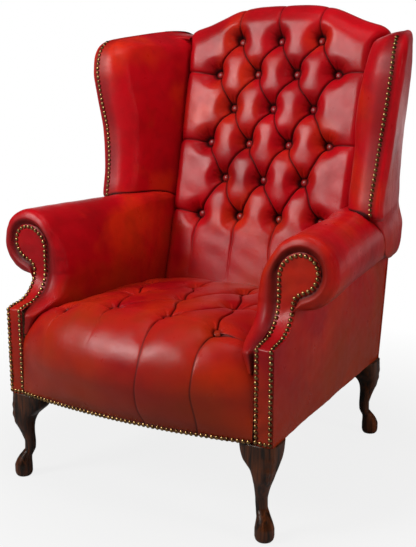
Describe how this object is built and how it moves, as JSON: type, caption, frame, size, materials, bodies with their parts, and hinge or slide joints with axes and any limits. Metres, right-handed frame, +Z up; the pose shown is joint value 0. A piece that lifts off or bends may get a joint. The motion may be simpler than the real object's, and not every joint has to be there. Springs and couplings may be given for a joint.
{
  "type": "wingback chair",
  "caption": "High-backed wingback armchair in deep-buttoned antiqued red leather, with scroll arms, brass-nailed edges and four dark cabriole legs",
  "frame": {"origin": "on the floor, under the middle of the whole chair's bounding box", "axes": "+X across the chair to the sitter's left, +Y from front to back, +Z up"},
  "size_m": [0.8598, 0.8758, 1.094],
  "materials": {
    "red_leather": "semi-gloss, antiqued",
    "button_leather": "semi-gloss",
    "dark_mahogany": "polished lacquer",
    "frame_timber": "sawn, unfinished",
    "seat_foam": "open cell foam",
    "jute_webbing": "woven",
    "hessian": "woven",
    "black_lining": "matt cloth",
    "bolt_steel": "zinc plated"
  },
  "bodies": {
    "root": {"back_buttons": "button_leather", "back_cover": "red_leather", "back_cross_webbing": "jute_webbing", "back_foam": "seat_foam", "back_webbing": "jute_webbing", "bottom_lining": "black_lining", "corner_blocks": "frame_timber", "crest_rail": "frame_timber", "front_seat_rail": "frame_timber", "left_arm_cover": "red_leather", "left_arm_facing": "red_leather", "left_arm_post": "frame_timber", "left_arm_rail": "frame_timber", "left_back_post": "frame_timber", "left_front_leg": "dark_mahogany", "left_outer_arm_panel": "red_leather", "left_outer_wing_panel": "red_leather", "left_rear_leg": "dark_mahogany", "left_seat_rail": "frame_timber", "left_wing_cover": "red_leather", "left_wing_post": "frame_timber", "left_wing_rail": "frame_timber", "leg_bolts": "bolt_steel", "lower_back_rail": "frame_timber", "outer_back_panel": "red_leather", "rear_seat_rail": "frame_timber", "right_arm_cover": "red_leather", "right_arm_facing": "red_leather", "right_arm_post": "frame_timber", "right_arm_rail": "frame_timber", "right_back_post": "frame_timber", "right_front_leg": "dark_mahogany", "right_outer_arm_panel": "red_leather", "right_outer_wing_panel": "red_leather", "right_rear_leg": "dark_mahogany", "right_seat_rail": "frame_timber", "right_wing_cover": "red_leather", "right_wing_post": "frame_timber", "right_wing_rail": "frame_timber", "seat_buttons": "button_leather", "seat_cover": "red_leather", "seat_cross_webbing": "jute_webbing", "seat_foam": "seat_foam", "seat_hessian": "hessian", "seat_webbing": "jute_webbing"}
  },
  "joints": []
}
